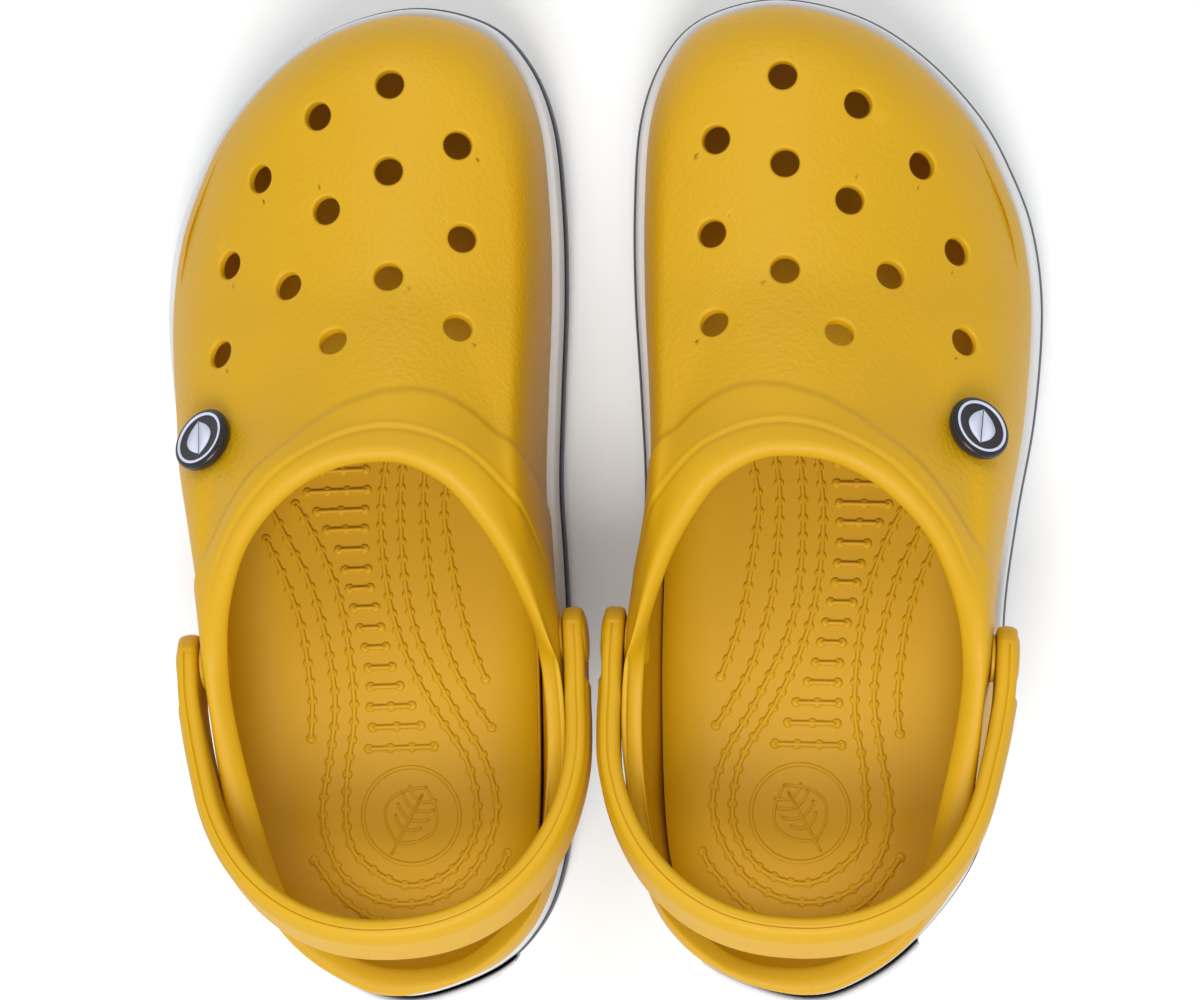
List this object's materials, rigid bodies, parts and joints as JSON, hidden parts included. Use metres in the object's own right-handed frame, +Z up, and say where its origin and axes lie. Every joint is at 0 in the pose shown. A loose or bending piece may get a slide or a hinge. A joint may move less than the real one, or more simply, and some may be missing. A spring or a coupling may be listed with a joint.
{
  "type": "rubber garden clog",
  "caption": "Moulded foam garden clogs, left and right, with a vented toe, rolled collar, striped sole band and a heel strap that swings on rivets.",
  "frame": {"origin": "middle of the pair's footprint, on the floor that the clogs stand on", "axes": "+Y towards the toes, +X towards the wearer's right, +Z up"},
  "size_m": [0.2468, 0.2804, 0.098],
  "materials": {
    "upper_foam": "moulded closed-cell foam with a fine pebble grain and a satin sheen",
    "footbed_foam": "smooth moulded foam with raised bead-and-bar lines",
    "strap_foam": "smooth satin moulded foam",
    "midsole_foam": "matt pale foam",
    "stripe_rubber": "dark navy satin rubber",
    "outsole_rubber": "pale moulded rubber with tread lugs",
    "patch_rubber": "pale satin rubber",
    "rivet_plastic": "satin moulded plastic",
    "washer_plastic": "satin moulded plastic",
    "badge_plastic": "near-black satin plastic",
    "emblem_plastic": "pale printed relief"
  },
  "bodies": {
    "left_clog": {"left_upper_shell": "upper_foam", "left_footbed": "footbed_foam", "left_midsole": "midsole_foam", "left_side_stripe": "stripe_rubber", "left_outsole": "outsole_rubber", "left_heel_patch": "patch_rubber", "left_rivet_stud_outer": "rivet_plastic", "left_rivet_stud_inner": "rivet_plastic", "left_rivet_cap_outer": "rivet_plastic", "left_rivet_cap_inner": "rivet_plastic", "left_washer_outer": "washer_plastic", "left_washer_inner": "washer_plastic", "left_badge_button": "badge_plastic", "left_badge_clip": "badge_plastic", "left_badge_emblem": "emblem_plastic"},
    "left_strap": {"left_heel_strap": "strap_foam"},
    "right_clog": {"right_upper_shell": "upper_foam", "right_footbed": "footbed_foam", "right_midsole": "midsole_foam", "right_side_stripe": "stripe_rubber", "right_outsole": "outsole_rubber", "right_heel_patch": "patch_rubber", "right_rivet_stud_outer": "rivet_plastic", "right_rivet_stud_inner": "rivet_plastic", "right_rivet_cap_outer": "rivet_plastic", "right_rivet_cap_inner": "rivet_plastic", "right_washer_outer": "washer_plastic", "right_washer_inner": "washer_plastic", "right_badge_button": "badge_plastic", "right_badge_clip": "badge_plastic", "right_badge_emblem": "emblem_plastic"},
    "right_strap": {"right_heel_strap": "strap_foam"}
  },
  "joints": [
    {"name": "left_strap_hinge", "type": "hinge", "parent": "left_clog", "child": "left_strap", "pos_m": [-0.05668, -0.03943, 0.058], "axis": [-0.9971, -0.0764, 0], "range_deg": [0, 112]},
    {"name": "right_clog_lift", "type": "slide", "parent": "left_clog", "child": "right_clog", "axis": [0, 0, 1], "range_m": [0, 0.15]},
    {"name": "right_strap_hinge", "type": "hinge", "parent": "right_clog", "child": "right_strap", "pos_m": [0.05781, -0.03771, 0.058], "axis": [-0.9989, 0.0475, 0], "range_deg": [0, 112]}
  ]
}
